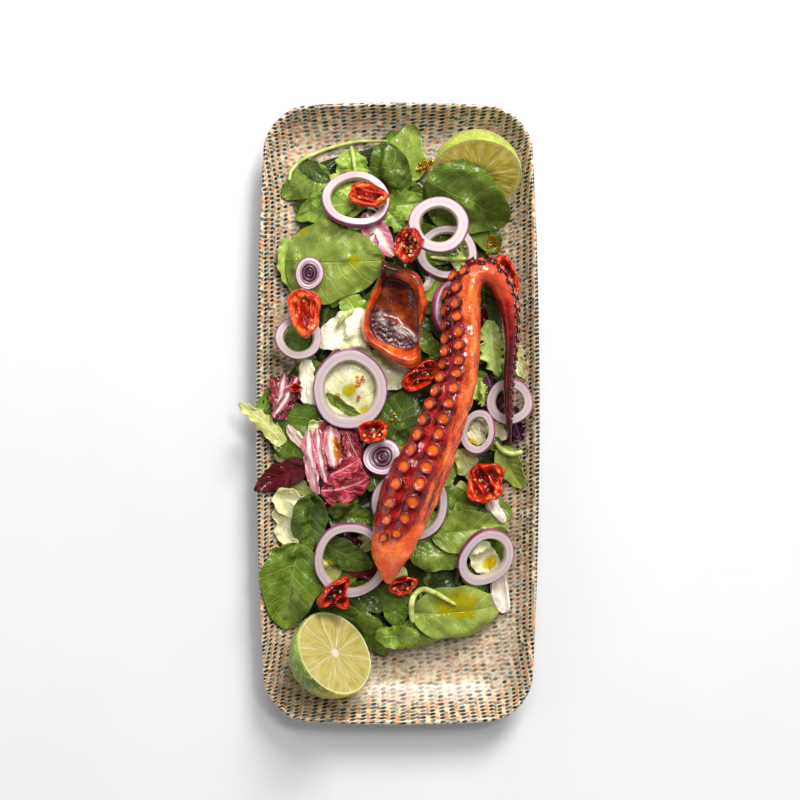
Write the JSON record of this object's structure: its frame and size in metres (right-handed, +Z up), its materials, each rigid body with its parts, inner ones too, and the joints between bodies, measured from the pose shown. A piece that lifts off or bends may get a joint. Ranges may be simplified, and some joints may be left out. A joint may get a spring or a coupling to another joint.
{
  "type": "octopus salad platter",
  "caption": "Grilled octopus arm with suckers on a leaf salad with onion rings, dried tomatoes and lime halves, on a long ceramic platter.",
  "frame": {"origin": "centre of the platter's flat foot, on the table", "axes": "+Z up out of the table, +Y along the platter's long side towards the end with the lime at the diner's right, +X towards the diner's right"},
  "size_m": [0.1651, 0.3502, 0.0571],
  "materials": {
    "glazed_ceramic": "glossy glaze over a small woven-look print",
    "salad_leaf": "fresh leaves, thin and a little oily",
    "octopus": "cooked and grilled flesh, wet and glossy",
    "lime": "waxy dimpled rind, wet cut flesh",
    "onion": "wet raw onion with a purple skin",
    "tomato": "dried, wrinkled and oiled"
  },
  "bodies": {
    "root": {"lime_half_far": "lime", "lime_half_near": "lime", "octopus_arm": "octopus", "octopus_piece": "octopus", "onion_heart_left": "onion", "onion_heart_middle": "onion", "onion_ring_beside_arm": "onion", "onion_ring_big": "onion", "onion_ring_far_left": "onion", "onion_ring_far_lower": "onion", "onion_ring_far_upper": "onion", "onion_ring_left_wall": "onion", "onion_ring_near_left": "onion", "onion_ring_near_right": "onion", "onion_ring_right": "onion", "onion_ring_right_wall": "onion", "onion_ring_under_arm": "onion", "platter": "glazed_ceramic", "salad_heap": "salad_leaf", "spinach_leaf_on_lime": "salad_leaf", "tomato_centre": "tomato", "tomato_far_left": "tomato", "tomato_far_middle": "tomato", "tomato_left": "tomato", "tomato_middle": "tomato", "tomato_near_left": "tomato", "tomato_near_middle": "tomato", "tomato_right": "tomato", "tomato_small": "tomato", "tomato_under_bend": "tomato"}
  },
  "joints": []
}
